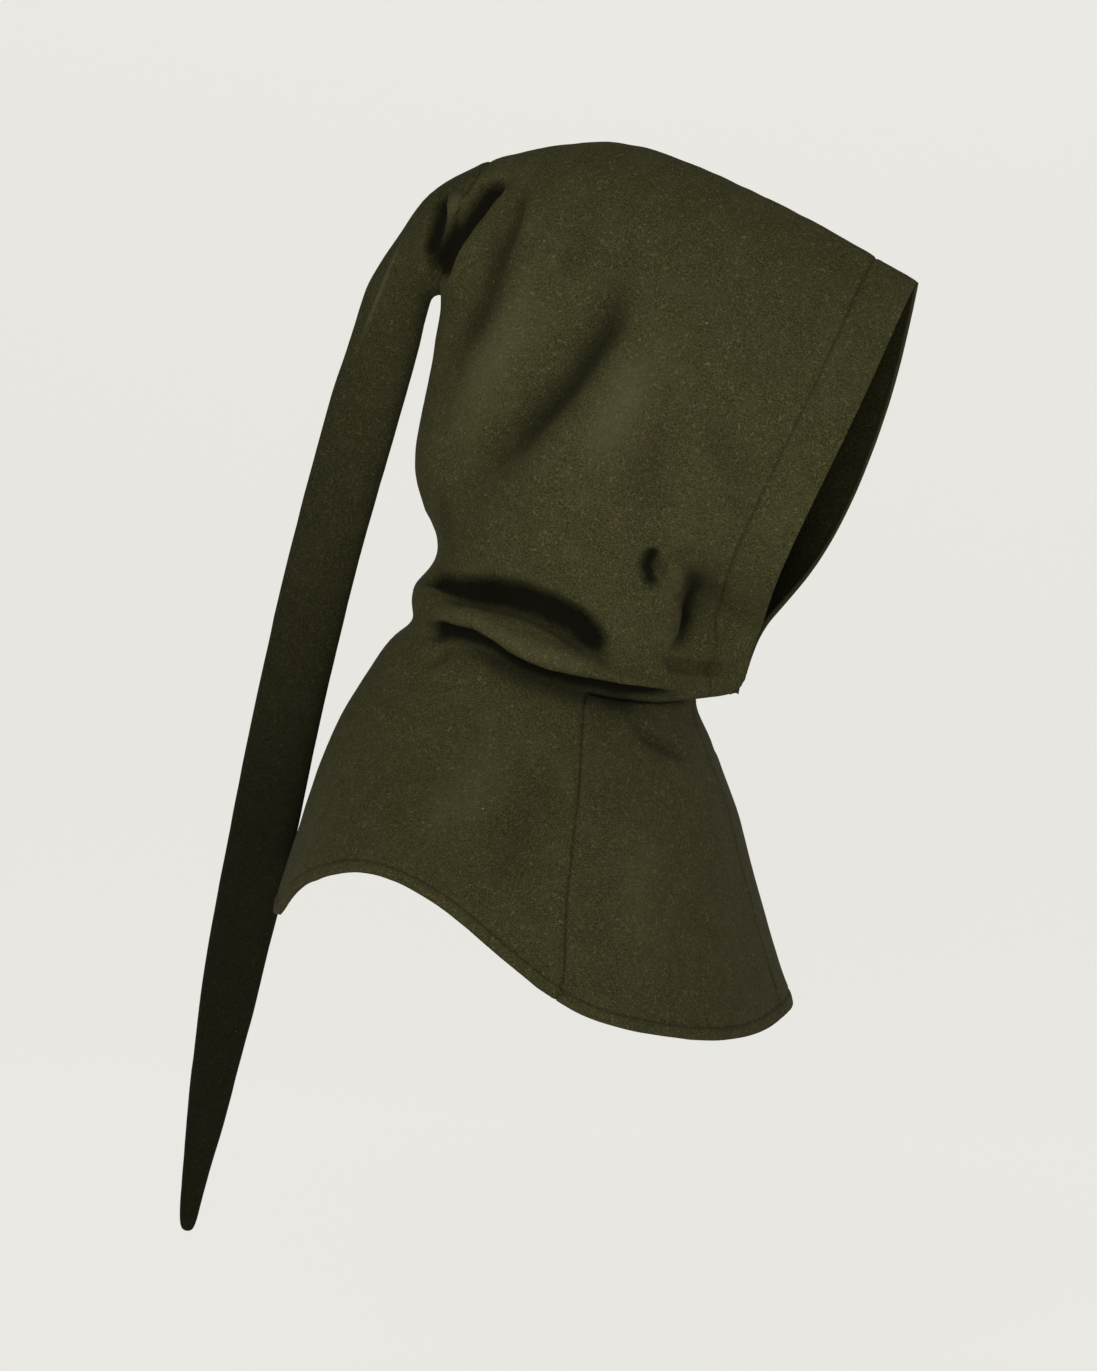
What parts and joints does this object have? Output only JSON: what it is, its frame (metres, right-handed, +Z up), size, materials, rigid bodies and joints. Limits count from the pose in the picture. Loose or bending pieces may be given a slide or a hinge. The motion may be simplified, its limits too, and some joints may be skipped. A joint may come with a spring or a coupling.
{
  "type": "liripipe hood",
  "caption": "Liripipe hood of thick olive wool with an open face, a neck roll, a shoulder cape and a long hanging tail, shaped as worn.",
  "frame": {"origin": "the crown, on the middle plane, where the cloth rests on top of the wearer's head", "axes": "+X the way the face opening looks, +Y the wearer's left, +Z up"},
  "size_m": [0.4612, 0.38, 0.6729],
  "materials": {
    "hood_wool": "matte fulled wool",
    "front_wool": "matte fulled wool",
    "liripipe_wool": "matte fulled wool"
  },
  "bodies": {
    "root": {"hood_right": "hood_wool", "hood_left": "hood_wool", "front_cape_right": "front_wool", "front_cape_left": "front_wool", "liripipe": "liripipe_wool"}
  },
  "joints": []
}
